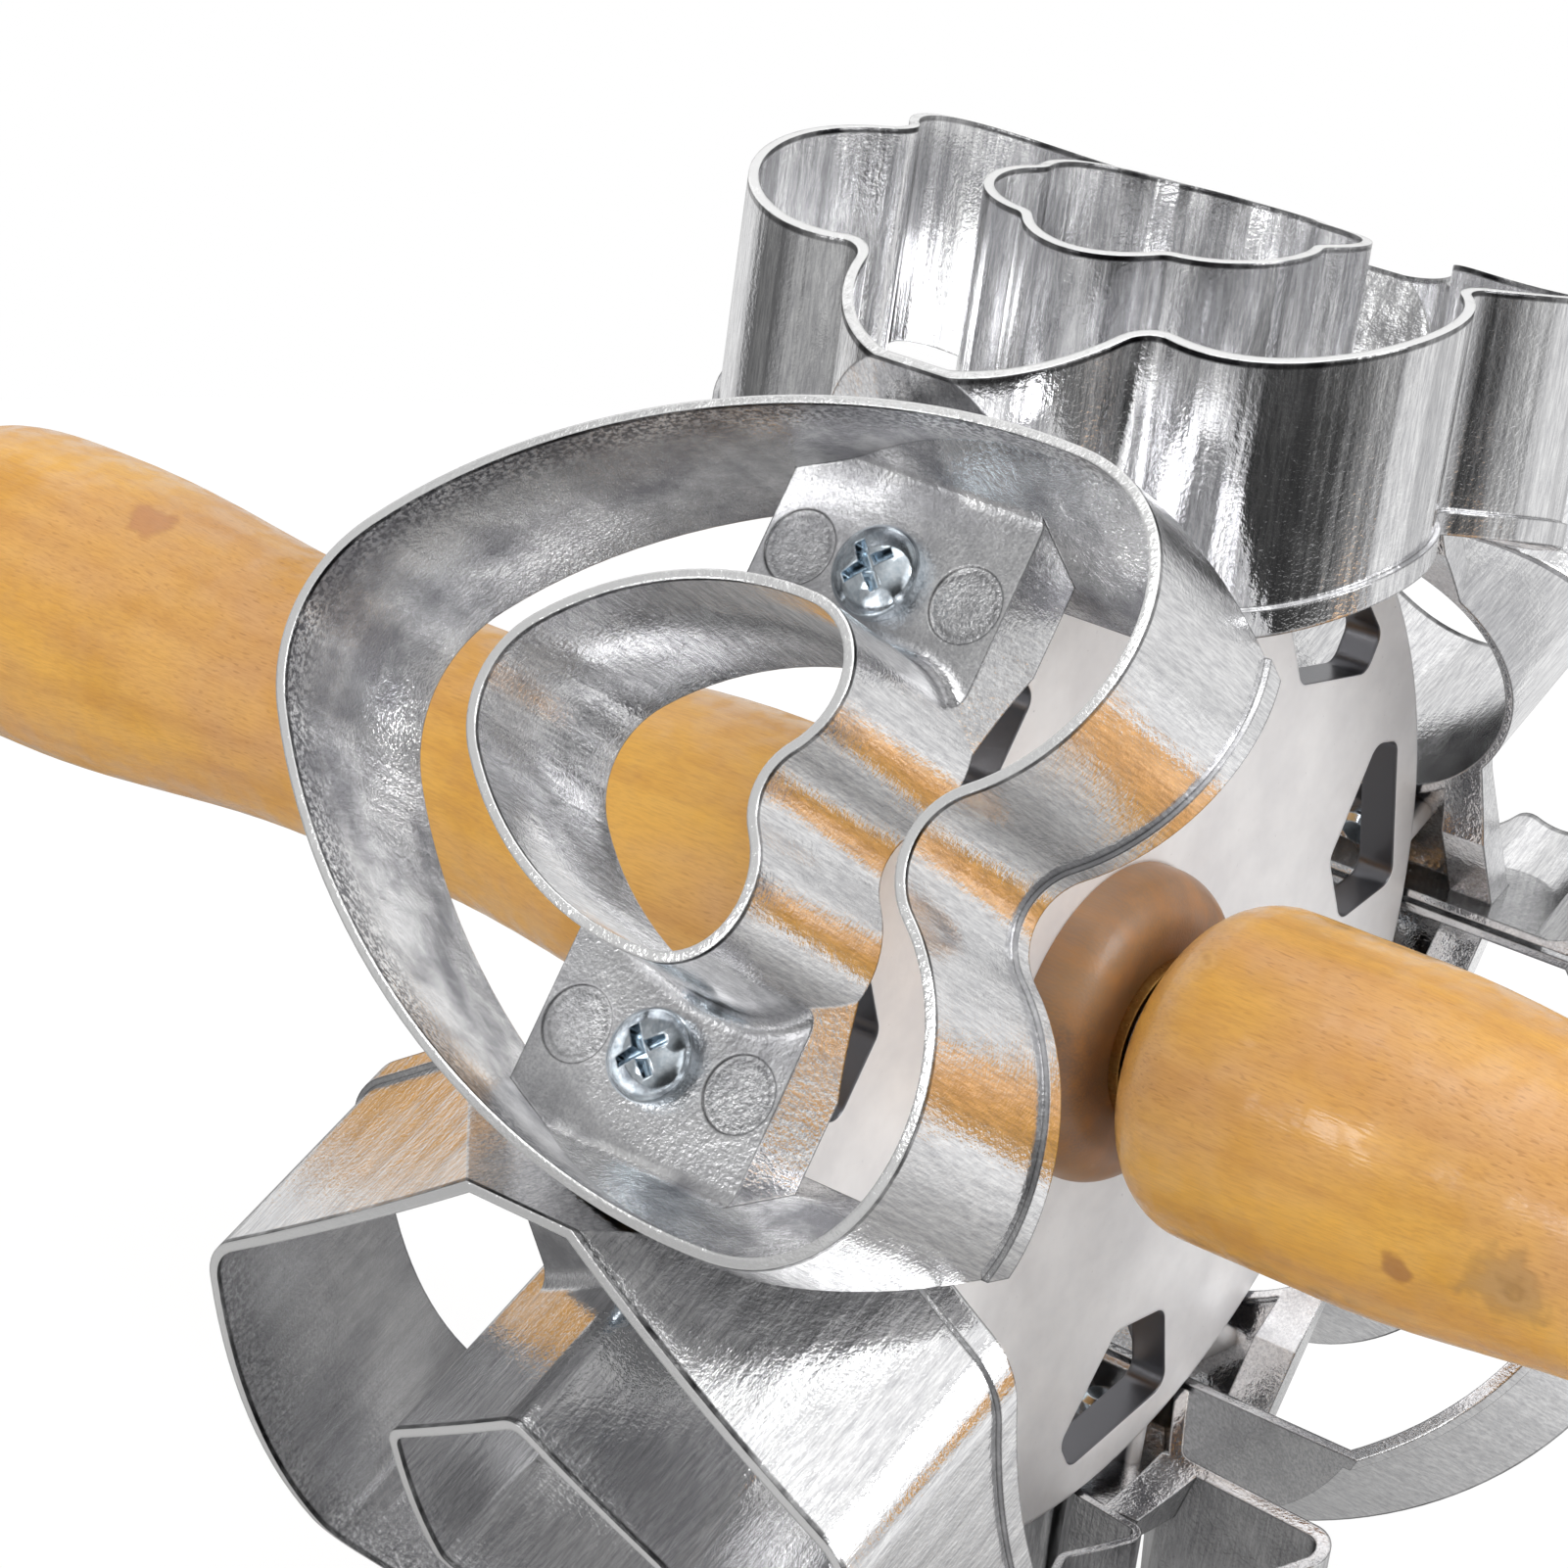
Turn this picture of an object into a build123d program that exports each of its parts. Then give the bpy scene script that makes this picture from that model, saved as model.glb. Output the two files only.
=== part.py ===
# Donut cutter roller: six blade castings on a wheel that spins between two wooden handles.
# X runs along the axle towards the right handle, Z is up, and the origin is the wheel's centre.
import os
from math import cos, radians, sin, sqrt, tan

from build123d import *

# Cutting rims and blades
RIM_RADIUS = 84.0            # the rims of all six cutters lie on this cylinder
BASE_RADIUS = 60.0           # the lower edges of the blades lie on this cylinder
BLADE_WALL = 1.0
FOOT_HEIGHT = 2.4            # the band along the lower edge of an outer blade
FOOT_STAND = 0.6             # how far the band stands out from the blade
CUTTER_COUNT = 6
SEAM_GAP = 0.6               # between neighbouring cutters
BLADE_CLEARANCE = 0.6        # between the blades' lower edges and the wheel

# Outlines of the cutters, measured along the axle and round the wheel
HEXAGON_FLATS = 78.6         # across the flats of the outer blade
HEXAGON_HOLE_FLATS = 35.4
HEXAGON_ROUND = 6.0
HEXAGON_HOLE_ROUND = 3.0
FLOWER_RADIUS = 42.3         # to the crown of a petal
FLOWER_CUSP = 32.3           # to the cusp between two petals
FLOWER_CUSP_ROUND = 3.0
FLOWER_HOLE_RADIUS = 19.2
FLOWER_HOLE_CUSP = 16.8
FLOWER_HOLE_ROUND = 2.0
PETAL_COUNT = 6
ROUND_RADIUS = 41.4
ROUND_HOLE_RADIUS = 19.5
SCALLOP_RADIUS = 41.4
SCALLOP_CUSP = 38.4
SCALLOP_ROUND = 2.0
SCALLOP_COUNT = 14
SCALLOP_HOLE_RADIUS = 19.5
STAR_RADIUS = 41.2
STAR_NOTCH = 25.0
STAR_ROUND = 3.0
STAR_HOLE_RADIUS = 20.4
STAR_HOLE_NOTCH = 13.5
STAR_HOLE_ROUND = 2.0
STAR_POINTS = 6

# The heart's arcs: the lobe's centre and radius, the notch, the tip and the long sides
HEART_LOBE_ALONG = 20.1
HEART_LOBE_ACROSS = 20.8
HEART_LOBE_RADIUS = 19.0
HEART_NOTCH_RADIUS = 7.2
HEART_TIP_ALONG = -44.2
HEART_TIP_RADIUS = 17.4
HEART_SIDE_RADIUS = 70.0
HEART_HOLE_LOBE_ALONG = 7.0
HEART_HOLE_LOBE_ACROSS = 9.3
HEART_HOLE_LOBE_RADIUS = 8.7
HEART_HOLE_NOTCH_RADIUS = 6.0
HEART_HOLE_TIP_ALONG = -21.1
HEART_HOLE_TIP_RADIUS = 10.8
HEART_HOLE_SIDE_RADIUS = 31.4

# Lugs that bridge the two blades of a cutter
LUG_RISE = 2.2               # the top of a lug above the lower edges of the blades
LUG_THICKNESS = 3.0
LUG_LENGTH = 28.0            # along the axle, at the top
LUG_SKIRT = 3.2              # how far the lug's ends reach below its plate
LUG_SPREAD = 2.0             # how much farther out each end lies at its foot than at the top
LUG_CHANNEL = 21.0           # the space between the two ends, under the plate
LUG_INNER = 11.0             # where the lug starts, from the cutter's middle
LUG_FILLET = 2.0             # where the top of a lug runs into the blades
LUG_FILLET_FROM = 10.0       # shorter edges stay sharp
SCREW_OFFSET = 24.8          # from the cutter's middle, round the wheel
MARK_OFFSET = 9.75           # ejector pin marks either side of the screw
MARK_DIAMETER = 7.6
MARK_DEPTH = 0.25

# Cutter screws
SCREW_DIAMETER = 5.0
SCREW_LENGTH = 8.0
SCREW_TIP_CHAMFER = 0.7
SCREW_HOLE_CLEARANCE = 0.25
HEAD_DIAMETER = 9.2
HEAD_HEIGHT = 3.4
HEAD_RIM = 1.1               # the upright edge of the head, below its dome
HEAD_CLEARANCE = 0.15        # between a head and the fillets of its lug
RECESS_SPAN = 5.6
RECESS_WIDTH = 1.3
RECESS_DEPTH = 1.9
RECESS_TAPER = 12.0          # degrees

# Wheel
PLATE_THICKNESS = 4.4
PLATE_CLEARANCE = 0.3        # between the plate's left face and the screws
HUB_RADIUS = 21.0
HUB_STAND = 10.8             # how far the hub stands out from the plate's left face
HUB_FILLET = 2.0
PAD_THICKNESS = 3.2
PAD_START = 21.4             # nearest and farthest edge of a pad from the cutter's middle
PAD_END = 29.6
PAD_START_WIDTH = 18.4
PAD_END_WIDTH = 2.4
PAD_ROUND = 1.5              # at the two wide corners
# Corners of the plate's windows: how far from the cutter's middle, and how far below the plate's edge
WINDOW_NEAR = 5.2
WINDOW_NEAR_DROP = 8.2
WINDOW_TOP_NEAR = 13.0
WINDOW_TOP_FAR = 22.5
WINDOW_TOP_DROP = 19.5
WINDOW_FAR = 25.5
WINDOW_FAR_DROP = 9.1
WINDOW_FOOT = 8.0
WINDOW_FOOT_DROP = 4.5
WINDOW_ROUND = 2.0

# Barrel, bushes, washers and axle rod
BARREL_RADIUS = 17.0
BARREL_LENGTH = 27.6
BARREL_ROUND = 5.0
AXLE_RADIUS = 5.0
AXLE_INSERT = 110.0          # how far the rod goes into each handle
AXLE_CHAMFER = 1.0
RUNNING_CLEARANCE = 0.05     # between the axle rod and the bushes, all round
BUSH_WALL = 2.5
BUSH_LENGTH = 10.0
BUSH_FLANGE_RADIUS = 9.0
BUSH_FLANGE = 1.2
END_PLAY = 0.4               # between a bush flange and its thrust washer
WASHER_RADIUS = 9.0
WASHER_THICKNESS = 1.6

# Handles: radius at distances from the handle's inner end
HANDLE_LENGTH = 150.0
HANDLE_INNER_RADIUS = 17.8
HANDLE_INNER_ROUND = 8.0
HANDLE_SWELL_AT = 24.0       # the thick stretch beside the inner end
GRIP_START = 60.0            # the straight waist of the grip
GRIP_LENGTH = 20.0
GRIP_RADIUS = 15.1
KNOB_AT = 126.0              # the thickest place, near the outer end
KNOB_RADIUS = 18.5
HANDLE_END_RADIUS = 8.0

SECTOR_HALF = 180.0 / CUTTER_COUNT
LUG_TOP = BASE_RADIUS + LUG_RISE
LUG_BOTTOM = LUG_TOP - LUG_THICKNESS
PLATE_LEFT = SCREW_DIAMETER / 2 + PLATE_CLEARANCE
PLATE_RIGHT = PLATE_LEFT + PLATE_THICKNESS
PLATE_RADIUS = BASE_RADIUS - BLADE_CLEARANCE
FLANGE_END = BARREL_LENGTH / 2 + BUSH_FLANGE
WASHER_START = FLANGE_END + END_PLAY
HANDLE_START = WASHER_START + WASHER_THICKNESS
REACH = 2 * RIM_RADIUS       # longer than any cut needs


def heart_outline(lobe_along, lobe_across, lobe_radius, notch_radius, tip_along, tip_radius, side_radius):
    """Tangent arcs: a notch, a lobe and a long side on each half, and a tip."""
    lobe = Vector(lobe_along, lobe_across)
    notch = Vector(lobe_along + sqrt((lobe_radius + notch_radius)**2 - lobe_across**2), 0)
    tip = Vector(tip_along + tip_radius, 0)
    reach_from_lobe = side_radius - lobe_radius
    reach_from_tip = side_radius - tip_radius
    span = tip - lobe
    forward = (span.length**2 + reach_from_lobe**2 - reach_from_tip**2) / (2 * span.length)
    sideways = sqrt(reach_from_lobe**2 - forward**2)
    direction = span.normalized()
    side = lobe + direction * forward + Vector(-direction.Y, direction.X) * sideways
    notch_to_lobe = lobe + (notch - lobe).normalized() * lobe_radius
    lobe_to_side = side + (lobe - side).normalized() * side_radius
    side_to_tip = side + (tip - side).normalized() * side_radius
    lobe_arc = arc_about(lobe, lobe_radius, notch_to_lobe, lobe_to_side)
    side_arc = arc_about(side, side_radius, lobe_to_side, side_to_tip)
    notch_arc = ThreePointArc(across(notch_to_lobe), (notch.X - notch_radius, 0), notch_to_lobe)
    tip_arc = ThreePointArc(side_to_tip, (tip_along, 0), across(side_to_tip))
    other_half = [mirror(arc, Plane.XZ) for arc in (lobe_arc, side_arc)]
    return make_face([notch_arc, lobe_arc, side_arc, tip_arc, *other_half])


def arc_about(centre, radius, start, end):
    """The shorter arc from start to end about a centre."""
    middle = centre + (start + end - centre * 2).normalized() * radius
    return ThreePointArc(start, middle, end)


def across(point):
    """The same point on the heart's other half."""
    return Vector(point.X, -point.Y)


def petal_outline(count, crown, cusp, rounding):
    """Round petals whose arcs meet in cusps, with a cusp on the axle's direction."""
    half_step = radians(180.0 / count)
    offset_from_middle = (crown**2 - cusp**2) / (2 * (crown - cusp * cos(half_step)))
    petals = [Pos(*polar(offset_from_middle, 360.0 * (i + 0.5) / count)) * Circle(crown - offset_from_middle)
              for i in range(count)]
    outline = Sketch() + RegularPolygon(cusp, count) + petals
    return fillet(outline.vertices(), rounding)


def star_outline(count, tip, notch, rounding):
    """A star with one tip pointing straight round the wheel."""
    corners = []
    for i in range(count):
        corners.append(polar(tip, 90 + 360.0 * i / count))
        corners.append(polar(notch, 90 + 360.0 * (i + 0.5) / count))
    outline = make_face(Polyline(*corners, close=True))
    return fillet(outline.vertices(), rounding)


def hexagon_outline(across_flats, rounding):
    """A hexagon with two corners pointing round the wheel."""
    outline = RegularPolygon(across_flats / 2, 6, major_radius=False, rotation=90)
    return fillet(outline.vertices(), rounding)


def polar(radius, angle):
    """A flat point from a radius and an angle in degrees."""
    return radius * cos(radians(angle)), radius * sin(radians(angle))


def column(outline):
    """An outline raised through the whole height of the blades."""
    return extrude(outline, REACH)


def sector(wall):
    """The wedge that one cutter may fill, drawn in by half the seam and by a wall."""
    side = (SEAM_GAP / 2 + wall) / cos(radians(SECTOR_HALF))
    spread = tan(radians(SECTOR_HALF))
    low, high = BASE_RADIUS / 2, REACH
    corners = [(low * spread - side, low), (high * spread - side, high),
               (side - high * spread, high), (side - low * spread, low)]
    profile = Plane.YZ * make_face(Polyline(*corners, close=True))
    return extrude(profile, REACH / 2, both=True)


def along_axle(radius, length):
    """A round bar centred on the axle."""
    return extrude(Plane.YZ * Circle(radius), length / 2, both=True)


def blade_ring():
    """The space between the lower edges and the rims of the blades."""
    return along_axle(RIM_RADIUS, REACH) - along_axle(BASE_RADIUS, REACH)


def lug(side):
    """One lug before it is trimmed by the blades: a plate with sloping ends that reach below it."""
    foot = LUG_BOTTOM - LUG_SKIRT
    half_top = LUG_LENGTH / 2
    half_foot = half_top + LUG_SPREAD
    half_channel = LUG_CHANNEL / 2
    profile = Polyline((-half_top, LUG_TOP), (half_top, LUG_TOP), (half_foot, foot), (half_channel, foot),
                       (half_channel, LUG_BOTTOM), (-half_channel, LUG_BOTTOM), (-half_channel, foot),
                       (-half_foot, foot), close=True)
    bar = extrude(Plane.XZ * make_face(profile), -side * RIM_RADIUS)
    return Pos(0, side * LUG_INNER, 0) * bar


def lug_corners(casting):
    """The longer edges where the tops of the lugs meet the blades."""
    at_top = casting.edges().filter_by_position(Axis.Z, LUG_TOP - 0.01, LUG_TOP + 0.01)
    between_ends = at_top.filter_by_position(Axis.X, 0.01 - LUG_LENGTH / 2, LUG_LENGTH / 2 - 0.01)
    long_edges = between_ends.filter_by(lambda edge: edge.length > LUG_FILLET_FROM)
    return long_edges.filter_by(lambda edge: edge.geom_type == GeomType.LINE
                                or abs(edge.center().Y) < SCREW_OFFSET)


def cutter(outline, hole_outline, wide_lugs):
    """One casting in its own frame, with the axle along X and the cutter on top."""
    body = column(outline) & sector(0)
    cavity = column(offset(outline, -BLADE_WALL)) & sector(BLADE_WALL)
    hole_block = column(hole_outline)
    hole = column(offset(hole_outline, -BLADE_WALL))
    ring = blade_ring()
    foot = column(offset(outline, FOOT_STAND)) & sector(0) & along_axle(BASE_RADIUS + FOOT_HEIGHT, REACH)
    outer_blade = (body + foot - cavity) & ring
    inner_blade = (hole_block - hole) & ring
    casting = outer_blade + inner_blade
    for side in (-1, 1):
        casting += (lug(side) & body & ring) - hole_block
    if wide_lugs:
        casting = fillet(lug_corners(casting), LUG_FILLET)
    for side in (-1, 1):
        casting -= Pos(0, side * SCREW_OFFSET, LUG_TOP) * Cylinder(
            SCREW_DIAMETER / 2 + SCREW_HOLE_CLEARANCE, 3 * LUG_THICKNESS)
        if wide_lugs:
            casting -= Pos(0, side * SCREW_OFFSET, LUG_TOP + LUG_FILLET / 2) * Cylinder(
                HEAD_DIAMETER / 2 + HEAD_CLEARANCE, LUG_FILLET)
            for end in (-1, 1):
                casting -= Pos(end * MARK_OFFSET, side * SCREW_OFFSET, LUG_TOP) * Cylinder(
                    MARK_DIAMETER / 2, 2 * MARK_DEPTH)
    return casting


def cutter_screw():
    """A pan head screw standing on z = 0 with its shank below."""
    head_radius = HEAD_DIAMETER / 2
    shank_radius = SCREW_DIAMETER / 2
    tip_radius = shank_radius - SCREW_TIP_CHAMFER
    profile = Polyline((0, HEAD_HEIGHT), (0, -SCREW_LENGTH), (tip_radius, -SCREW_LENGTH),
                       (shank_radius, SCREW_TIP_CHAMFER - SCREW_LENGTH), (shank_radius, 0),
                       (head_radius, 0), (head_radius, HEAD_RIM))
    dome = EllipticalCenterArc((0, HEAD_RIM), head_radius, HEAD_HEIGHT - HEAD_RIM, arc_size=90)
    body = revolve(Plane.XZ * make_face(profile.edges() + dome.edges()), Axis.Z)
    slots = Sketch() + [Rot(0, 0, turn) * Rectangle(RECESS_SPAN, RECESS_WIDTH) for turn in (45, 135)]
    return body - Pos(0, 0, HEAD_HEIGHT) * extrude(slots, -RECESS_DEPTH, taper=RECESS_TAPER)


def screw_pair():
    """The two screws of one cutter, in the cutter's frame."""
    return [Pos(0, side * SCREW_OFFSET, LUG_TOP) * cutter_screw() for side in (-1, 1)]


def wheel_seats():
    """The two pads under one cutter's lugs, each carried by a web of the plate."""
    half_start, half_end = PAD_START_WIDTH / 2, PAD_END_WIDTH / 2
    seats = []
    for side in (-1, 1):
        corners = [(-half_start, side * PAD_START), (half_start, side * PAD_START),
                   (half_end, side * PAD_END), (-half_end, side * PAD_END)]
        pad_outline = make_face(Polyline(*corners, close=True))
        wide_corners = pad_outline.vertices().sort_by(lambda corner: abs(corner.Y))[:2]
        pad_outline = fillet(wide_corners, PAD_ROUND)
        block = Pos(0, 0, LUG_BOTTOM) * extrude(pad_outline, -LUG_BOTTOM / 2)
        web = block & Pos((PLATE_LEFT + PLATE_RIGHT) / 2, 0, 0) * Box(PLATE_THICKNESS, REACH, REACH)
        web &= sector(BLADE_WALL + BLADE_CLEARANCE)
        pad = block & Pos(0, 0, LUG_BOTTOM - PAD_THICKNESS / 2) * Box(REACH, REACH, PAD_THICKNESS)
        pad &= Pos(PLATE_RIGHT - REACH / 2, 0, 0) * Box(REACH, REACH, REACH)
        hole = Pos(0, side * SCREW_OFFSET, LUG_BOTTOM) * Cylinder(SCREW_DIAMETER / 2, 3 * PAD_THICKNESS)
        seats.append(web + pad - hole)
    return seats


def plate_windows():
    """The two rounded windows of the plate beside one cutter's seats."""
    windows = []
    for side in (-1, 1):
        corners = [(side * WINDOW_NEAR, PLATE_RADIUS - WINDOW_NEAR_DROP),
                   (side * WINDOW_TOP_NEAR, PLATE_RADIUS - WINDOW_TOP_DROP),
                   (side * WINDOW_TOP_FAR, PLATE_RADIUS - WINDOW_TOP_DROP),
                   (side * WINDOW_FAR, PLATE_RADIUS - WINDOW_FAR_DROP),
                   (side * WINDOW_FOOT, PLATE_RADIUS - WINDOW_FOOT_DROP)]
        outline = make_face(Polyline(*corners, close=True))
        outline = fillet(outline.vertices(), WINDOW_ROUND)
        windows.append(extrude(Plane.YZ * outline, REACH / 2, both=True))
    return windows


def wheel():
    """The cast plate with its hub and twelve pads, and windows at the seats of every other cutter."""
    plate = Pos(PLATE_LEFT, 0, 0) * extrude(Plane.YZ * Circle(PLATE_RADIUS), PLATE_THICKNESS)
    hub = Pos(PLATE_RIGHT, 0, 0) * extrude(Plane.YZ * Circle(HUB_RADIUS), -PLATE_THICKNESS - HUB_STAND)
    casting = plate + hub
    hub_edges = casting.edges().filter_by(GeomType.CIRCLE).filter_by(lambda edge: edge.radius < PLATE_RADIUS)
    casting = fillet(hub_edges.sort_by(Axis.X)[-1:], HUB_FILLET)
    for i in range(CUTTER_COUNT):
        turn = Rot(360.0 * i / CUTTER_COUNT, 0, 0)
        for seat in wheel_seats():
            casting += turn * seat
        if i % 2:
            for window in plate_windows():
                casting -= turn * window
    return casting - along_axle(BARREL_RADIUS, REACH)


def barrel():
    """The wooden core of the wheel, bored for the two bushes."""
    core = along_axle(BARREL_RADIUS, BARREL_LENGTH)
    core = fillet(core.edges().filter_by(GeomType.CIRCLE), BARREL_ROUND)
    return core - along_axle(AXLE_RADIUS + RUNNING_CLEARANCE + BUSH_WALL, REACH)


def bush():
    """The right bush: a sleeve in the barrel with a flange on the barrel's end."""
    bore = AXLE_RADIUS + RUNNING_CLEARANCE
    sleeve = Plane.YZ * Circle(bore + BUSH_WALL)
    body = Pos(FLANGE_END, 0, 0) * extrude(sleeve, -BUSH_LENGTH)
    body += Pos(FLANGE_END, 0, 0) * extrude(Plane.YZ * Circle(BUSH_FLANGE_RADIUS), -BUSH_FLANGE)
    return body - along_axle(bore, REACH)


def thrust_washer():
    """The right thrust washer, held against the handle."""
    ring = Plane.YZ * (Circle(WASHER_RADIUS) - Circle(AXLE_RADIUS))
    return Pos(WASHER_START, 0, 0) * extrude(ring, WASHER_THICKNESS)


def axle_rod():
    """The steel rod that carries the barrel and holds the handles."""
    rod = along_axle(AXLE_RADIUS, 2 * (HANDLE_START + AXLE_INSERT))
    return chamfer(rod.edges().filter_by(GeomType.CIRCLE), AXLE_CHAMFER)


def handle():
    """The right handle, turned from one piece and bored for the axle rod."""
    inner_flat = HANDLE_INNER_RADIUS - HANDLE_INNER_ROUND
    grip_end = GRIP_START + GRIP_LENGTH
    inner_end = Line((0, 0), (0, inner_flat))
    inner_round = RadiusArc(inner_end @ 1, (HANDLE_INNER_ROUND, HANDLE_INNER_RADIUS), HANDLE_INNER_ROUND)
    swell = Line(inner_round @ 1, (HANDLE_SWELL_AT, HANDLE_INNER_RADIUS))
    fall = Spline(swell @ 1, (GRIP_START, GRIP_RADIUS), tangents=[(1, 0), (1, 0)])
    waist = Line(fall @ 1, (grip_end, GRIP_RADIUS))
    rise = Spline(waist @ 1, (KNOB_AT, KNOB_RADIUS), tangents=[(1, 0), (1, 0)])
    knob = Spline(rise @ 1, (HANDLE_LENGTH, HANDLE_END_RADIUS), tangents=[(1, 0), (0, -1)])
    outer_end = Line(knob @ 1, (HANDLE_LENGTH, 0))
    centre = Line(outer_end @ 1, inner_end @ 0)
    edges = [inner_end, inner_round, swell, fall, waist, rise, knob, outer_end, centre]
    profile = make_face(edges)
    turned = revolve(profile, Axis.X)
    bore = extrude(Plane.YZ * Circle(AXLE_RADIUS), AXLE_INSERT)
    return Pos(HANDLE_START, 0, 0) * (turned - bore)


def mirrored(piece):
    """The same piece on the left of the wheel."""
    return mirror(piece, Plane.YZ)


# Each cutter's name, its outlines, and whether its lugs have room for pin marks and fillets
CUTTERS = [
    ("flower", petal_outline(PETAL_COUNT, FLOWER_RADIUS, FLOWER_CUSP, FLOWER_CUSP_ROUND),
     petal_outline(PETAL_COUNT, FLOWER_HOLE_RADIUS, FLOWER_HOLE_CUSP, FLOWER_HOLE_ROUND), True),
    ("heart",
     heart_outline(HEART_LOBE_ALONG, HEART_LOBE_ACROSS, HEART_LOBE_RADIUS, HEART_NOTCH_RADIUS,
                   HEART_TIP_ALONG, HEART_TIP_RADIUS, HEART_SIDE_RADIUS),
     heart_outline(HEART_HOLE_LOBE_ALONG, HEART_HOLE_LOBE_ACROSS, HEART_HOLE_LOBE_RADIUS,
                   HEART_HOLE_NOTCH_RADIUS, HEART_HOLE_TIP_ALONG, HEART_HOLE_TIP_RADIUS,
                   HEART_HOLE_SIDE_RADIUS), True),
    ("hexagon", hexagon_outline(HEXAGON_FLATS, HEXAGON_ROUND),
     hexagon_outline(HEXAGON_HOLE_FLATS, HEXAGON_HOLE_ROUND), True),
    ("star", star_outline(STAR_POINTS, STAR_RADIUS, STAR_NOTCH, STAR_ROUND),
     star_outline(STAR_POINTS, STAR_HOLE_RADIUS, STAR_HOLE_NOTCH, STAR_HOLE_ROUND), False),
    ("round", Circle(ROUND_RADIUS), Circle(ROUND_HOLE_RADIUS), True),
    ("scalloped", petal_outline(SCALLOP_COUNT, SCALLOP_RADIUS, SCALLOP_CUSP, SCALLOP_ROUND),
     Circle(SCALLOP_HOLE_RADIUS), True),
]

nodes = {
    "left_handle": mirrored(handle()),
    "right_handle": handle(),
    "axle_rod": axle_rod(),
    "left_thrust_washer": mirrored(thrust_washer()),
    "right_thrust_washer": thrust_washer(),
    "barrel": barrel(),
    "left_bush": mirrored(bush()),
    "right_bush": bush(),
    "wheel": wheel(),
}
for index, (name, outline, hole_outline, wide_lugs) in enumerate(CUTTERS):
    turn = Rot(360.0 * index / CUTTER_COUNT, 0, 0)
    nodes[name + "_cutter"] = turn * cutter(outline, hole_outline, wide_lugs)
    nodes[name + "_screws"] = Compound(children=[turn * screw for screw in screw_pair()])

os.makedirs("parts", exist_ok=True)
for name, shape in nodes.items():
    export_step(shape, f"parts/{name}.step")
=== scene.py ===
# Donut cutter roller: finishes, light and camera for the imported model.
from math import cos, pi, radians, sin
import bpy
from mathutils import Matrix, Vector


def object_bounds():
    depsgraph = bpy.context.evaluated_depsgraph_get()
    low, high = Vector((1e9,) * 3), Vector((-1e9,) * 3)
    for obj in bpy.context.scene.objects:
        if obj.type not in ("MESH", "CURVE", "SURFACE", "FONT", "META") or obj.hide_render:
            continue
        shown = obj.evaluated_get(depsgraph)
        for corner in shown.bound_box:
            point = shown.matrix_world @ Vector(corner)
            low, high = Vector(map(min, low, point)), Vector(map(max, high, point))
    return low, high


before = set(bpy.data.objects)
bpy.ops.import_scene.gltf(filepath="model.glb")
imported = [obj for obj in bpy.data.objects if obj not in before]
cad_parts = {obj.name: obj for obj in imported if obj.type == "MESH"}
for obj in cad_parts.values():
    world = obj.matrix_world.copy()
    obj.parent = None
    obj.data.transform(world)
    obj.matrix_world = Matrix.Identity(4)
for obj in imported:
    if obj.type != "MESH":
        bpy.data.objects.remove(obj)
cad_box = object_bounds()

from types import SimpleNamespace

import bmesh
import bpy
from mathutils import Matrix, Vector

MM = 0.001

# Each cutter's turn round the axle in degrees, how dull the inside of its outer blade is, and how fluted
# its walls are, which also sets how dark the painted reflection bands along its flutes are
CUTTERS = {"flower": (0, 0.0, 1.0), "heart": (60, 1.0, 0.3), "hexagon": (120, 0.5, 0.3),
           "star": (180, 0.3, 0.3), "round": (240, 0.5, 0.3), "scalloped": (300, 0.0, 0.3)}
# Where the rims, screws and pin marks of a cutter lie, as in the CAD
RIM_RADIUS = 84.0 * MM
SCREW_OFFSET = 24.8 * MM
MARK_OFFSET = 9.75 * MM
MARK_RADIUS = 3.8 * MM
# A radius between the lugs and the rims, and a distance from a cutter's middle between its two blades
LUG_LIMIT = 75 * MM
BLADE_LIMIT = 23 * MM

# Knots: place, radius and spacing of rings in millimetres, their two colours and how much they cover
KNOTS = [((64.5, -15.6, -3.4), 4.4, 2.6, "#B58C58", "#9A7444", 0.7),
         ((53.0, -15.9, -5.4), 1.9, 2.4, "#94592E", "#A9733F", 0.8),
         ((43.3, -13.9, 10.1), 0.8, 2.0, "#BB642A", "#C4702C", 0.85),
         ((-126.2, -7.2, 16.5), 3.2, 4.0, "#A3694A", "#BE8258", 0.7),
         ((23.4, -9.5, 13.8), 2.0, 1.5, "#E0AE68", "#B27A38", 0.6),
         ((-95.0, 9.0, 12.0), 2.6, 1.2, "#A98458", "#8A6540", 0.7),
         ((88.0, 12.6, 8.0), 2.2, 1.2, "#A98458", "#8A6540", 0.7)]

# The table top: its radius, how far back its middle lies, and how far it stays below the lowest rims
TABLE_RADIUS = 0.45
TABLE_BACK = 0.1
TABLE_GAP = 0.2 * MM
# How bright its paper is to the eye, how much of that is its own glow, and the middle of the painted pool of
# light that metal sees on it
PAPER_WHITE = 1.06
PAPER_GLOW = 0.85
PAPER_LIGHT_POOL = (0.15, 0.22)

# Metal mirrors a grey room with walls, each given by azimuth, elevation, the angles from its middle where
# it is full and gone, and how bright it is
ROOM_GREY = 0.8
WALLS = [(-136, 13, 30, 52, 0.39), (180, 48, 5, 24, 0.28), (-39, -20, 25, 75, 0.15),
         (-48, -14, 14, 40, 0.05), (-155, -21, 16, 30, 0.18), (70, -35, 30, 50, 0.8),
         (157, 42, 4, 15, 1.1), (-6, 29, 17, 36, 1.2), (0, 90, 12, 34, 1.1)]


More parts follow.
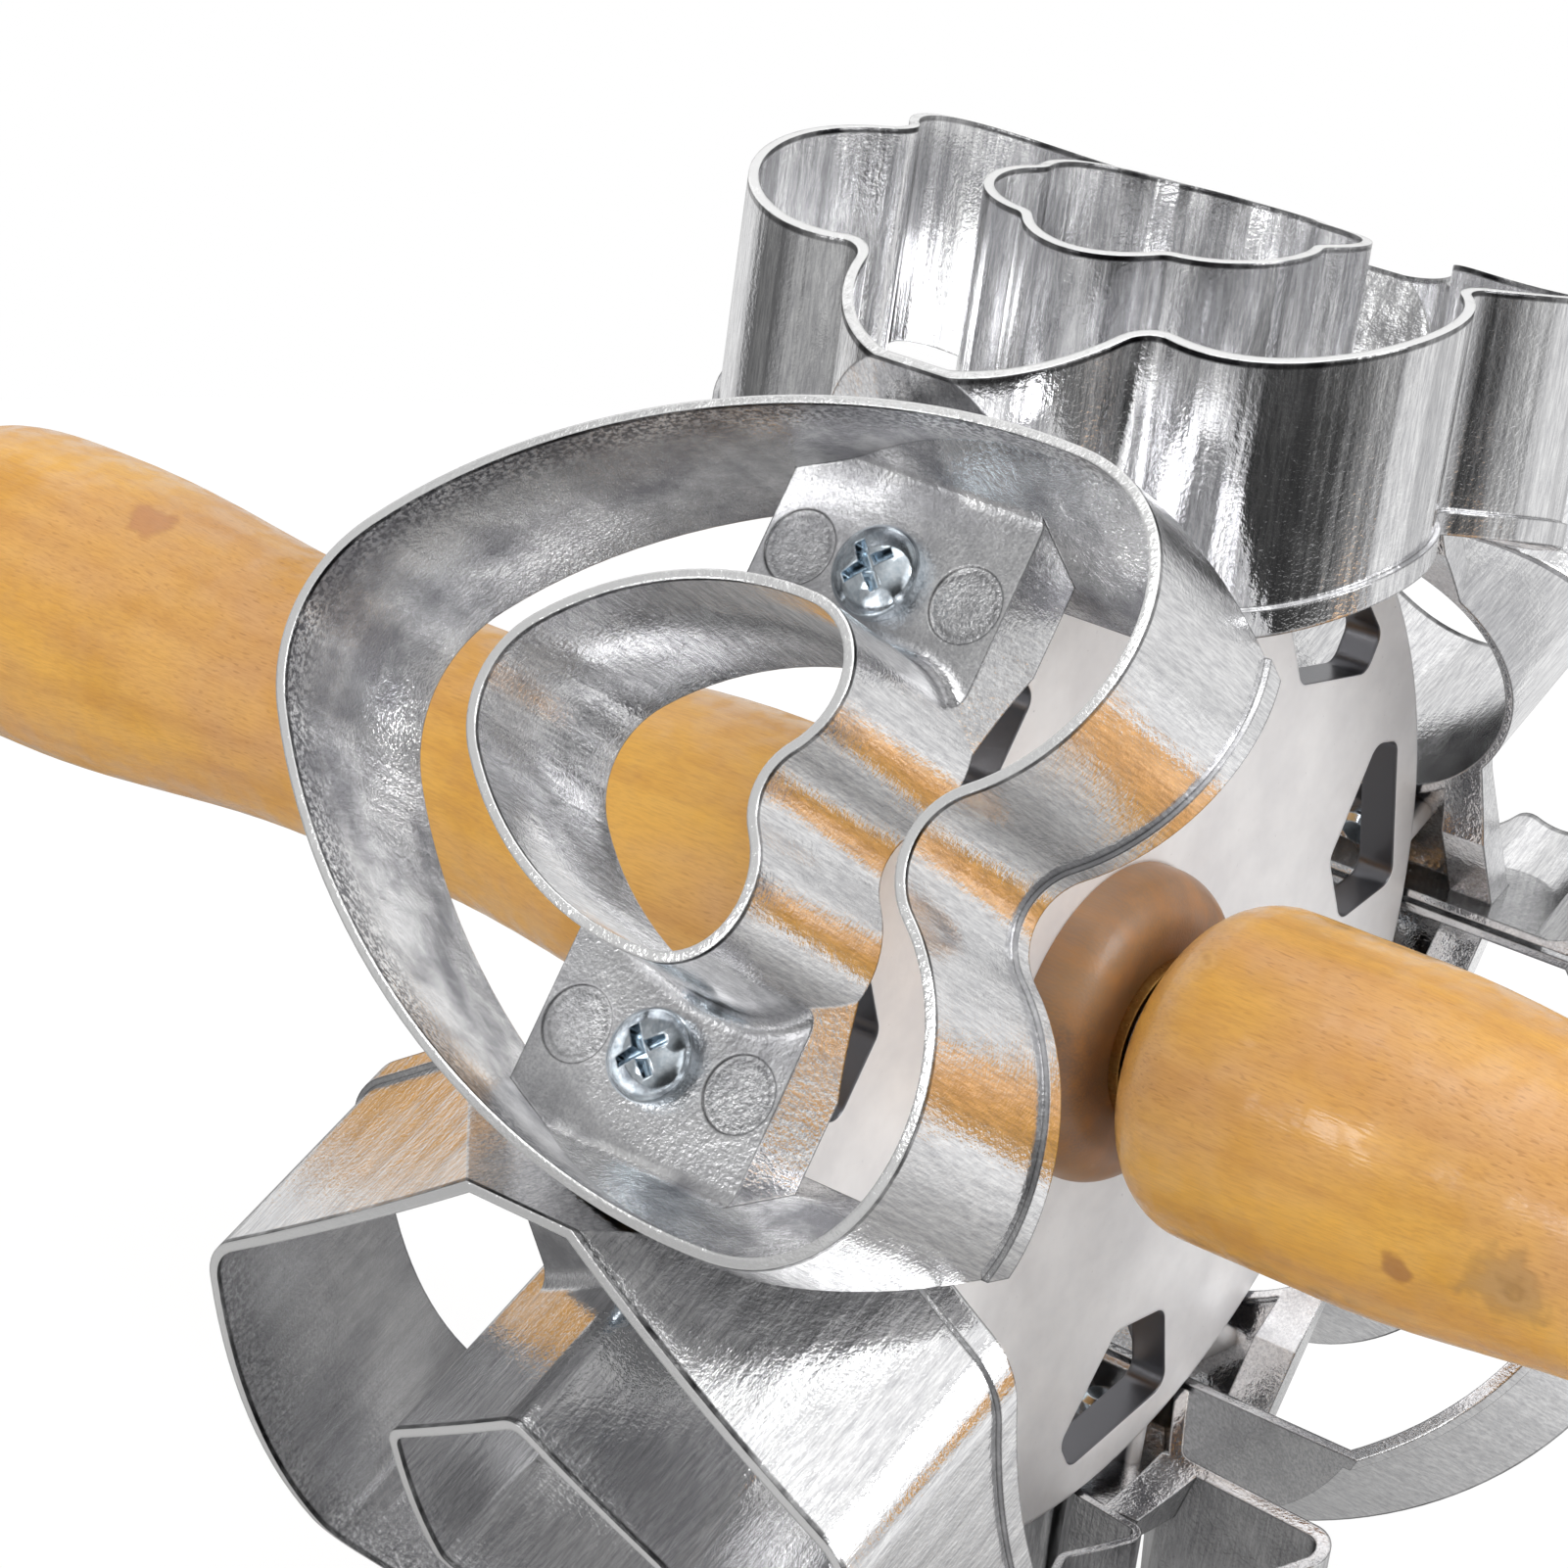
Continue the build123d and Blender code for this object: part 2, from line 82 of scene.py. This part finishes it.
def linear(code):
    """A linear colour from an sRGB hex code."""
    parts = [int(code[i:i + 2], 16) / 255 for i in (1, 3, 5)]
    return [p / 12.92 if p <= 0.04045 else ((p + 0.055) / 1.055)**2.4 for p in parts] + [1.0]


def direction(azimuth, elevation):
    """A unit vector from angles in degrees."""
    level = cos(radians(elevation))
    return level * cos(radians(azimuth)), level * sin(radians(azimuth)), sin(radians(elevation))


def add(tree, kind, inputs=None, **settings):
    """Adds a node with its settings, and sets or links its inputs by name or number."""
    node = tree.nodes.new("ShaderNode" + kind)
    for name, value in settings.items():
        setattr(node, name, value)
    for key, value in (inputs or {}).items():
        socket = node.inputs[key] if isinstance(key, int) else next(
            s for s in node.inputs if s.enabled and s.name == key)
        if isinstance(value, bpy.types.Node):
            value = next(s for s in value.outputs if s.enabled)
        if isinstance(value, bpy.types.NodeSocket):
            tree.links.new(value, socket)
        else:
            socket.default_value = value
    return node


def empty_tree(owner):
    """Turns nodes on and clears them."""
    owner.use_nodes = True
    owner.node_tree.nodes.clear()
    return owner.node_tree


def scalar(tree, operation, *values):
    """An arithmetic step on numbers."""
    return add(tree, "Math", dict(enumerate(values)), operation=operation)


def times(tree, first, second):
    """The product of two numbers."""
    return scalar(tree, "MULTIPLY", first, second)


def plus(tree, base, area, amount):
    """A number that an area from 0 to 1 raises by an amount."""
    return scalar(tree, "MULTIPLY_ADD", area, amount, base)


def vector(tree, operation, *values):
    """An arithmetic step on vectors, which gives a vector or a number."""
    node = add(tree, "VectorMath", dict(enumerate(values)), operation=operation)
    gives_number = operation in ("LENGTH", "DISTANCE", "DOT_PRODUCT")
    return node.outputs["Value" if gives_number else "Vector"]


def ramp(tree, value, start, end, low=0.0, high=1.0, smooth=False):
    """Goes from low to high while a value goes from start to end, and stays level beyond them."""
    return add(tree, "MapRange", {"Value": value, "From Min": start, "From Max": end, "To Min": low,
                                  "To Max": high}, interpolation_type="SMOOTHSTEP" if smooth else "LINEAR")


def noise(tree, place, waves, detail, roughness=0.5, distortion=0.0):
    """Noise with so many waves to the metre, given as one number or as three along X, Y and Z."""
    if isinstance(waves, tuple):
        place = vector(tree, "MULTIPLY", place, waves)
        waves = 1.0
    return add(tree, "TexNoise", {"Vector": place, "Scale": waves, "Detail": detail,
                                  "Roughness": roughness, "Distortion": distortion})


def bump(tree, height, strength, depth, normal=None, invert=False):
    """Raises a pattern on a surface, or sinks it, by a depth in metres."""
    inputs = {"Height": height, "Strength": strength, "Distance": depth}
    if normal:
        inputs["Normal"] = normal
    return add(tree, "Bump", inputs, invert=invert)


def blend(tree, factor, under, over):
    """Lays one colour over another; each is a hex code or a node."""
    under, over = (linear(c) if isinstance(c, str) else c for c in (under, over))
    return add(tree, "Mix", {"Factor": factor, "A": under, "B": over}, data_type="RGBA")


def knotted(tree, place, smudges, colour, spot, radius, spacing, light, dark, cover):
    """A colour with a ringed knot on it, whose outline the smudges make uneven."""
    away = vector(tree, "SUBTRACT", place, [v * MM for v in spot])
    away = vector(tree, "MULTIPLY", away, (0.8, 1, 1))
    away = vector(tree, "LENGTH", away)
    wobble = ramp(tree, smudges, 0.0, 1.0, -0.7 * radius * MM, 0.7 * radius * MM)
    away = scalar(tree, "ADD", away, wobble)
    turns = times(tree, away, 2 * pi / (spacing * MM))
    lines = ramp(tree, scalar(tree, "SINE", turns), -1.0, 1.0)
    shade = ramp(tree, away, radius * MM, 0.4 * radius * MM, high=cover, smooth=True)
    return blend(tree, shade, colour, blend(tree, lines, light, dark))


def turned_beech(name, amber, tan, thick, coat):
    """Turned beech under a clear amber finish: blotches of amber and pinkish tan, short fine fibres along
    the axle, a few knots, and a satin gloss that breaks up on the pores."""
    material = bpy.data.materials.new(name)
    tree = empty_tree(material)
    place = add(tree, "TexCoord").outputs["Object"]

    # Blotches about 20 mm across and twice as long
    blotches = noise(tree, place, (22, 50, 50), 3.0, 0.55, distortion=0.6)
    blotch_shade = ramp(tree, blotches, 0.38, 0.62)
    colour = blend(tree, blotch_shade, amber, tan)
    # Yellower patches where the varnish lies thicker, about 14 mm across
    patches = noise(tree, place, 70.0, 3.0, 0.55)
    colour = blend(tree, ramp(tree, patches, 0.5, 0.66, high=0.6), colour, thick)
    # Growth streaks about 3 mm wide and 60 mm long
    streaks = noise(tree, place, (16, 330, 330), 2.0)
    colour = blend(tree, ramp(tree, streaks, 0.45, 0.7, high=0.3), colour, "#BC7E3C")
    # Fibres about 0.25 mm wide and 2.5 mm long
    fibres = noise(tree, place, (400, 4000, 4000), 3.0, 0.65)
    colour = blend(tree, ramp(tree, fibres, 0.42, 0.72, high=0.36), colour, "#B0753A")
    # Pores about 0.25 mm wide and 1.2 mm long, where the blotches are tan
    pores = noise(tree, place, (800, 4000, 4000), 0.0)
    pore_shade = times(tree, ramp(tree, pores, 0.66, 0.78, high=0.4), blotch_shade)
    colour = blend(tree, pore_shade, colour, "#A06A34")
    # Smudges about 3 mm across
    smudges = noise(tree, place, 330.0, 2.0)
    for knot in KNOTS:
        colour = knotted(tree, place, smudges, colour, *knot)

    # The varnish shines in ragged patches
    shine = ramp(tree, smudges, 0.42, 0.6, 0.15 * coat, coat)
    gloss = ramp(tree, patches, 0.35, 0.65, 0.34, 0.5)
    # It follows the turning in soft waves about 5 mm long, and sinks into the pores
    waves = noise(tree, place, 200.0, 2.0)
    waved = bump(tree, waves, 0.35, 0.3 * MM)
    sunk = bump(tree, pores, 0.3, 0.06 * MM, waved, invert=True)
    surface = add(tree, "BsdfPrincipled", {
        "Base Color": colour, "Roughness": gloss, "Normal": sunk, "IOR": 1.5, "Coat Weight": shine,
        "Coat Roughness": 0.14, "Coat Normal": sunk})
    add(tree, "OutputMaterial", {"Surface": surface})
    return material


def cast_patterns(tree, place):
    """The patterns on a cutter, in its own frame."""
    return SimpleNamespace(
        # Streaks about 0.5 mm wide and 14 mm long up the walls
        streaks=noise(tree, place, (1900, 1900, 70), 2.0, 0.6),
        # Scratches about 0.3 mm wide and 3 mm long up the walls
        scratches=noise(tree, place, (3200, 3200, 350), 3.0, 0.7),
        # Flutes about 3 mm wide over the whole height of a wall
        flutes=noise(tree, place, (330, 330, 12), 2.0),
        # Waves of the cast wall about 10 mm long
        ripples=noise(tree, place, 100.0, 2.0, 0.45),
        # Cloudy patches about 12 mm across
        clouds=noise(tree, place, 85.0, 4.0, 0.65),
        # Grain of the cast skin about 0.5 mm, drawn a little coarser than it is so that it shows
        grain=noise(tree, place, 1900.0, 2.0, 0.65))


def cast_areas(tree, place, facing, dull):
    """The areas of a cutter, in its own frame: each is 1 inside and 0 outside. The radius from the axle and
    the share of the normal that points away from it come with them."""
    upward = add(tree, "SeparateXYZ", {"Vector": facing}).outputs["Z"]
    radius = vector(tree, "LENGTH", vector(tree, "MULTIPLY", place, (0, 1, 1)))

    # The band under the rims that is ground, the rims, polished by use, and their tops, which carry a painted
    # highlight
    ground = ramp(tree, radius, RIM_RADIUS - 8 * MM, RIM_RADIUS - 1 * MM, smooth=True)
    rim = ramp(tree, radius, RIM_RADIUS - 0.4 * MM, RIM_RADIUS - 0.2 * MM)
    top = times(tree, ramp(tree, upward, 0.5, 0.7), rim)

    # The tops of the lugs
    level = ramp(tree, upward, 0.8, 0.95)
    lug = times(tree, level, ramp(tree, radius, LUG_LIMIT + 1 * MM, LUG_LIMIT - 1 * MM))

    # The inside walls, and the inside of the outer blade, which is left as cast
    from_middle = vector(tree, "MULTIPLY", place, (1, 1, 0))
    inward = ramp(tree, vector(tree, "DOT_PRODUCT", from_middle, facing), -4 * MM, -8 * MM)
    distance = vector(tree, "LENGTH", from_middle)
    outer = ramp(tree, distance, BLADE_LIMIT - 1 * MM, BLADE_LIMIT + 1 * MM)
    as_cast = times(tree, times(tree, inward, outer), dull)

    # The pin marks either side of each screw, and a fine ring inside each
    from_mark = vector(tree, "ABSOLUTE", place)
    from_mark = vector(tree, "SUBTRACT", from_mark, (MARK_OFFSET, SCREW_OFFSET, 0))
    from_mark = vector(tree, "LENGTH", vector(tree, "MULTIPLY", from_mark, (1, 1, 0)))
    mark = times(tree, ramp(tree, from_mark, MARK_RADIUS, MARK_RADIUS - 0.3 * MM), lug)
    from_ring = scalar(tree, "ABSOLUTE", scalar(tree, "SUBTRACT", from_mark, MARK_RADIUS - 0.7 * MM))
    ring = times(tree, ramp(tree, from_ring, 0.3 * MM, 0.1 * MM), mark)
    return SimpleNamespace(upward=upward, radius=radius, ground=ground, rim=rim, top=top, lug=lug,
                           inward=inward, as_cast=as_cast, mark=mark, ring=ring)


def cast_relief(tree, edges, patterns, areas, turn, flute_depth):
    """The normal of a cutter's surface."""
    # The inside walls lean back by the draft of the mould, and more where they run into their feet
    outwards = add(tree, "VectorTransform", {"Vector": (0, -sin(radians(turn)), cos(radians(turn)))},
                   convert_from="OBJECT", convert_to="WORLD", vector_type="NORMAL")
    foot = ramp(tree, areas.radius, RIM_RADIUS - 4 * MM, RIM_RADIUS - 20 * MM, 0.12, 0.5, smooth=True)
    draft = times(tree, areas.inward, foot)
    lean = add(tree, "VectorMath", {0: outwards, "Scale": draft}, operation="SCALE")
    leaning = vector(tree, "NORMALIZE", vector(tree, "ADD", edges, lean))

    rippled = bump(tree, patterns.ripples, 0.3, 0.4 * MM, leaning)
    fluted = bump(tree, patterns.flutes, flute_depth, 0.35 * MM, rippled)
    streaked = bump(tree, patterns.streaks, 0.2, 0.06 * MM, fluted)
    # Scratches are strong where the wall is ground, and worn off the rims
    scratch_strength = ramp(tree, areas.ground, 0.0, 1.0, 0.12, 0.5)
    scratch_strength = plus(tree, scratch_strength, areas.rim, -0.4)
    scratched = bump(tree, patterns.scratches, scratch_strength, 0.06 * MM, streaked)
    # Grain is strong on the lugs, and most of all in the pin marks
    grain_strength = ramp(tree, areas.lug, 0.0, 1.0, 0.2, 0.34)
    grain_strength = plus(tree, grain_strength, areas.as_cast, 0.12)
    grain_strength = plus(tree, grain_strength, areas.mark, 0.5)
    return bump(tree, patterns.grain, grain_strength, 0.25 * MM, scratched)


def painted_edge_reflections(tree, edges, patterns, areas):
    """The painted dark reflections on a cutter: lines along its edges, and along both walls where they turn
    into the rim, where rounded edges would mirror dark.
    """
    true_normal = add(tree, "NewGeometry").outputs["Normal"]
    # Painted dark reflection where the rounded edges turn
    edge_reflection = ramp(tree, vector(tree, "DOT_PRODUCT", edges, true_normal), 0.97, 0.84, high=0.8)
    edge_reflection = times(tree, edge_reflection, scalar(tree, "SUBTRACT", 1.0, areas.rim))
    upright = ramp(tree, areas.upward, 0.7, 0.4)
    patchy = ramp(tree, patterns.clouds, 0.4, 0.6, 0.5, 1.0)
    under_rim_reflection = ramp(tree, areas.radius, RIM_RADIUS - 0.65 * MM, RIM_RADIUS - 0.45 * MM)
    under_rim_reflection = times(tree, under_rim_reflection, times(tree, upright, patchy))
    return scalar(tree, "MAXIMUM", edge_reflection, under_rim_reflection)


def cast_colour(tree, edges, patterns, areas, flute_depth):
    """The colour of a cutter's metal."""
    scratched = ramp(tree, patterns.scratches, 0.35, 0.7)
    colour = blend(tree, scratched, "#FFFFFF", "#CCCCCF")
    # The as-cast skin is cloudy, and darker and specked under the rim
    cloudy = ramp(tree, patterns.clouds, 0.4, 0.62)
    specks = times(tree, ramp(tree, patterns.grain, 0.58, 0.42), areas.ground)
    skin = blend(tree, specks, blend(tree, cloudy, "#FFFFFF", "#B2B2B6"), "#7C7C80")
    colour = blend(tree, areas.as_cast, colour, skin)
    # Broad dark bands painted along the flutes are painted reflections of the dark they would mirror
    band = ramp(tree, patterns.flutes, 0.47, 0.6, high=0.4 * flute_depth)
    colour = blend(tree, band, colour, "#8A8A8E")
    # The lugs are duller, in clouds, and the tops of the rims are painted white as a painted highlight of
    # their rounding
    dulled = times(tree, ramp(tree, cloudy, 0.0, 1.0, 0.1, 0.9), areas.lug)
    colour = blend(tree, dulled, colour, "#B0B0B3")
    colour = blend(tree, areas.top, colour, "#FFFFFF")
    # The pin marks are pitted, and their rings show as fine lines
    pitted = times(tree, ramp(tree, patterns.grain, 0.35, 0.6, 0.4, 0.0), areas.mark)
    colour = blend(tree, plus(tree, pitted, areas.ring, 0.4), colour, "#8C8C8E")
    # Painted reflections: dark lines along the edges and under the rim
    return blend(tree, painted_edge_reflections(tree, edges, patterns, areas), colour, "#242426")


def bright_cast_aluminium(cutter, turn, dull, flute_depth):
    """Die-cast aluminium, tumbled bright: a hazy mirror with fine streaks up the walls, a ground band under
    each rim, rims with a painted highlight on their tops and painted dark reflections along their edges and
    below them, and a grainy cast skin on the lugs with rougher pin marks."""
    material = bpy.data.materials.new("bright_cast_aluminium_" + cutter)
    tree = empty_tree(material)
    source = add(tree, "TexCoord")
    # The cutter's own frame: X along the axle, Y round the wheel, Z away from the axle
    turned_back = (-radians(turn), 0, 0)
    place = add(tree, "Mapping", {"Vector": source.outputs["Object"], "Rotation": turned_back})
    facing = add(tree, "Mapping", {"Vector": source.outputs["Normal"], "Rotation": turned_back},
                 vector_type="VECTOR")
    edges = add(tree, "Bevel", {"Radius": 0.4 * MM}, samples=6)
    patterns = cast_patterns(tree, place)
    areas = cast_areas(tree, place, facing, dull)

    haze = ramp(tree, patterns.clouds, 0.35, 0.65, 0.07, 0.2)
    for area, more in ((areas.ground, 0.06), (areas.as_cast, 0.06), (areas.lug, 0.22)):
        haze = plus(tree, haze, area, more)
    haze = add(tree, "Mix", {"Factor": areas.rim, "A": haze, "B": 0.16})
    # The as-cast skin scatters a little light, so it stays pale whatever it mirrors; the tops of the rims
    # scatter more, to hold their painted highlight
    metallic = ramp(tree, areas.as_cast, 0.0, 1.0, 1.0, 0.9)
    metallic = add(tree, "Mix", {"Factor": areas.top, "A": metallic, "B": 0.8})
    surface = add(tree, "BsdfPrincipled", {
        "Base Color": cast_colour(tree, edges, patterns, areas, flute_depth), "Metallic": metallic,
        "Roughness": haze, "Normal": cast_relief(tree, edges, patterns, areas, turn, flute_depth)})
    add(tree, "OutputMaterial", {"Surface": surface})
    return material


def satin_cast_aluminium():
    """Cast aluminium, blasted and lightly tumbled: pale and almost matt, with soft clouds, specks and a fine
    skin. The walls of its windows and pads are shinier, and darkened with painted shade."""
    material = bpy.data.materials.new("satin_cast_aluminium")
    tree = empty_tree(material)
    source = add(tree, "TexCoord")
    place = source.outputs["Object"]
    sideways = add(tree, "SeparateXYZ", {"Vector": source.outputs["Normal"]}).outputs["X"]
    face = ramp(tree, scalar(tree, "ABSOLUTE", sideways), 0.3, 0.7)
    # Clouds about 12 mm across and a skin of about 0.8 mm
    clouds = noise(tree, place, 85.0, 4.0, 0.6)
    skin = noise(tree, place, 1250.0, 3.0, 0.6)

    colour = blend(tree, ramp(tree, clouds, 0.35, 0.65), "#F2F2F3", "#E2E2E4")
    colour = blend(tree, ramp(tree, skin, 0.68, 0.78, high=0.35), colour, "#8E8E90")
    # Painted shade: the walls of the windows and pads, where face is 0, are darkened to grey
    colour = blend(tree, face, "#7E7E82", colour)
    metallic = ramp(tree, face, 0.0, 1.0, 0.95, 0.35)
    dull = ramp(tree, clouds, 0.3, 0.7, 0.42, 0.55)
    dull = add(tree, "Mix", {"Factor": face, "A": 0.3, "B": dull})
    edges = add(tree, "Bevel", {"Radius": 0.6 * MM}, samples=4)
    waved = bump(tree, clouds, 0.2, 0.4 * MM, edges)
    rough = bump(tree, skin, 0.2, 0.08 * MM, waved)
    surface = add(tree, "BsdfPrincipled", {"Base Color": colour, "Metallic": metallic, "Roughness": dull,
                                           "Normal": rough})
    add(tree, "OutputMaterial", {"Surface": surface})
    return material


def plain_metal(name, light, dark, roughness, grain_mm):
    """A drawn or plated metal: an even colour with a fine grain and a slightly uneven gloss."""
    material = bpy.data.materials.new(name)
    tree = empty_tree(material)
    place = add(tree, "TexCoord").outputs["Object"]
    grain = noise(tree, place, 1000.0 / grain_mm, 2.0, 0.6)
    colour = blend(tree, ramp(tree, grain, 0.3, 0.7), light, dark)
    gloss = ramp(tree, grain, 0.0, 1.0, 0.7 * roughness, 1.3 * roughness)
    edges = add(tree, "Bevel", {"Radius": 0.25 * MM}, samples=4)
    skin = bump(tree, grain, 0.08, 0.05 * MM, edges)
    surface = add(tree, "BsdfPrincipled", {"Base Color": colour, "Metallic": 1.0, "Roughness": gloss,
                                           "Normal": skin})
    add(tree, "OutputMaterial", {"Surface": surface})
    return material


def white_paper():
    """White paper: white to the eye with a faint shadow under the object, and in reflections a painted pool
    of light at the back, grey in front and a painted shadow under the object."""
    material = bpy.data.materials.new("white_paper")
    tree = empty_tree(material)
    rays = add(tree, "LightPath").outputs
    place = add(tree, "TexCoord").outputs["Object"]
    # A painted pool of light round a spot behind the object, on its right, which only reflections show
    from_spot = vector(tree, "DISTANCE", place, (*PAPER_LIGHT_POOL, cad_box[0][2]))
    mirrored = ramp(tree, from_spot, 0.15, 0.5, 0.9, 0.12, smooth=True)
    # A painted shadow under the object, which only reflections show
    painted_shadow_beneath = ramp(tree, vector(tree, "LENGTH", place), 0.09, 0.18, 0.3, 1.0)
    mirrored = times(tree, mirrored, painted_shadow_beneath)
    strength = add(tree, "Mix", {"Factor": rays["Is Glossy Ray"], "A": PAPER_WHITE, "B": mirrored})
    seen = scalar(tree, "MAXIMUM", rays["Is Camera Ray"], rays["Is Glossy Ray"])
    seen = scalar(tree, "MAXIMUM", seen, rays["Is Transmission Ray"])
    matte = add(tree, "BsdfDiffuse", {"Color": linear("#F2F2F2")})
    glow = add(tree, "Emission", {"Color": (1, 1, 1, 1), "Strength": strength})
    surface = add(tree, "MixShader", {0: times(tree, seen, PAPER_GLOW), 1: matte, 2: glow})
    add(tree, "OutputMaterial", {"Surface": surface})
    return material


def dress(node, material):
    """Gives a CAD node its finish in place of the plain one it came with."""
    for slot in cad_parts[node].material_slots:
        slot.material = material


def softbox(name, spot, size, power):
    """A square lamp that faces the wheel."""
    lamp = bpy.data.lights.new(name, "AREA")
    lamp.size = size
    lamp.energy = power
    box = bpy.data.objects.new(name, lamp)
    box.location = spot
    box.rotation_euler = Vector(spot).to_track_quat("Z", "Y").to_euler()
    bpy.context.scene.collection.objects.link(box)


varnished_wood = turned_beech("varnished_wood", "#E9B04C", "#DAA466", "#D69A34", 0.8)
# The barrel: the same beech, less amber and with a thinner finish, its colours also darkened as painted shade
# for the shade it lies in between the wheel and the handles
oiled_wood = turned_beech("oiled_wood", "#A07C5C", "#745842", "#8A6A46", 0.15)
zinc = plain_metal("zinc_plated_steel", "#E6EEF4", "#C6D2DB", 0.1, 0.7)
steel = plain_metal("axle_steel", "#C9CACC", "#B0B1B4", 0.25, 0.5)
bronze = plain_metal("bush_bronze", "#D2AA66", "#B98E4C", 0.3, 0.5)
for node in ("left_handle", "right_handle"):
    dress(node, varnished_wood)
dress("barrel", oiled_wood)
dress("wheel", satin_cast_aluminium())
for cutter, (turn, dull, flute_depth) in CUTTERS.items():
    dress(cutter + "_cutter", bright_cast_aluminium(cutter, turn, dull, flute_depth))
    dress(cutter + "_screws", zinc)
for node in ("axle_rod", "left_thrust_washer", "right_thrust_washer"):
    dress(node, steel)
for node in ("left_bush", "right_bush"):
    dress(node, bronze)

# A round white table top that the lowest rims stand on
table = bmesh.new()
bmesh.ops.create_circle(table, cap_ends=True, radius=TABLE_RADIUS, segments=96)
bmesh.ops.translate(table, verts=table.verts, vec=(0, TABLE_BACK, cad_box[0][2] - TABLE_GAP))
mesh = bpy.data.meshes.new("floor")
table.to_mesh(mesh)
table.free()
mesh.materials.append(white_paper())
floor = bpy.data.objects.new("floor", mesh)
bpy.context.scene.collection.objects.link(floor)

# The room: white to the eye and soft grey as light, with walls that metal mirrors
world = bpy.data.worlds.new("room")
bpy.context.scene.world = world
tree = empty_tree(world)
rays = add(tree, "LightPath").outputs
towards = add(tree, "TexCoord").outputs["Generated"]
# The outlines of the walls wander
wander = ramp(tree, noise(tree, towards, 2.5, 3.0), 0.0, 1.0, -0.12, 0.12)
mirrored = ROOM_GREY
for azimuth, elevation, full, gone, level in WALLS:
    near = vector(tree, "DOT_PRODUCT", towards, direction(azimuth, elevation))
    near = scalar(tree, "ADD", near, wander)
    inside = ramp(tree, near, cos(radians(gone)), cos(radians(full)), smooth=True)
    mirrored = add(tree, "Mix", {"Factor": inside, "A": mirrored, "B": level})
# Its light comes from above, and a little from the front left
height = vector(tree, "DOT_PRODUCT", towards, (-0.2, -0.5, 0.84))
light = ramp(tree, height, -1.0, 1.0, 0.42, 0.92)
light = add(tree, "Mix", {"Factor": rays["Is Glossy Ray"], "A": light, "B": mirrored})
seen = scalar(tree, "MAXIMUM", rays["Is Camera Ray"], rays["Is Transmission Ray"])
light = add(tree, "Mix", {"Factor": seen, "A": light, "B": 1.0})
add(tree, "OutputWorld", {"Surface": add(tree, "Background", {"Color": (1, 1, 1, 1), "Strength": light})})

softbox("key", [0.9 * v for v in direction(-106, 12)], size=0.22, power=1.0)
softbox("top", (-0.1, -0.2, 0.9), size=0.6, power=1.2)
softbox("window", direction(0, 36), size=0.45, power=5.0)

# The photograph's camera: right, up and back directions are the columns of its aim
camera = bpy.data.cameras.new("camera")
camera.sensor_width = 36.0
camera.lens = 109.53
camera.shift_x = -0.0047
camera.shift_y = 0.0047
camera.clip_start = 0.01
eye = bpy.data.objects.new("camera", camera)
aim = Matrix(((0.7812, -0.3058, 0.5442), (0.6100, 0.1887, -0.7696), (0.1326, 0.9332, 0.3340))).to_4x4()
eye.matrix_world = Matrix.Translation((0.2416, -0.3926, 0.1812)) @ aim
bpy.context.scene.collection.objects.link(eye)
bpy.context.scene.camera = eye
bpy.context.scene.view_settings.view_transform = "Standard"
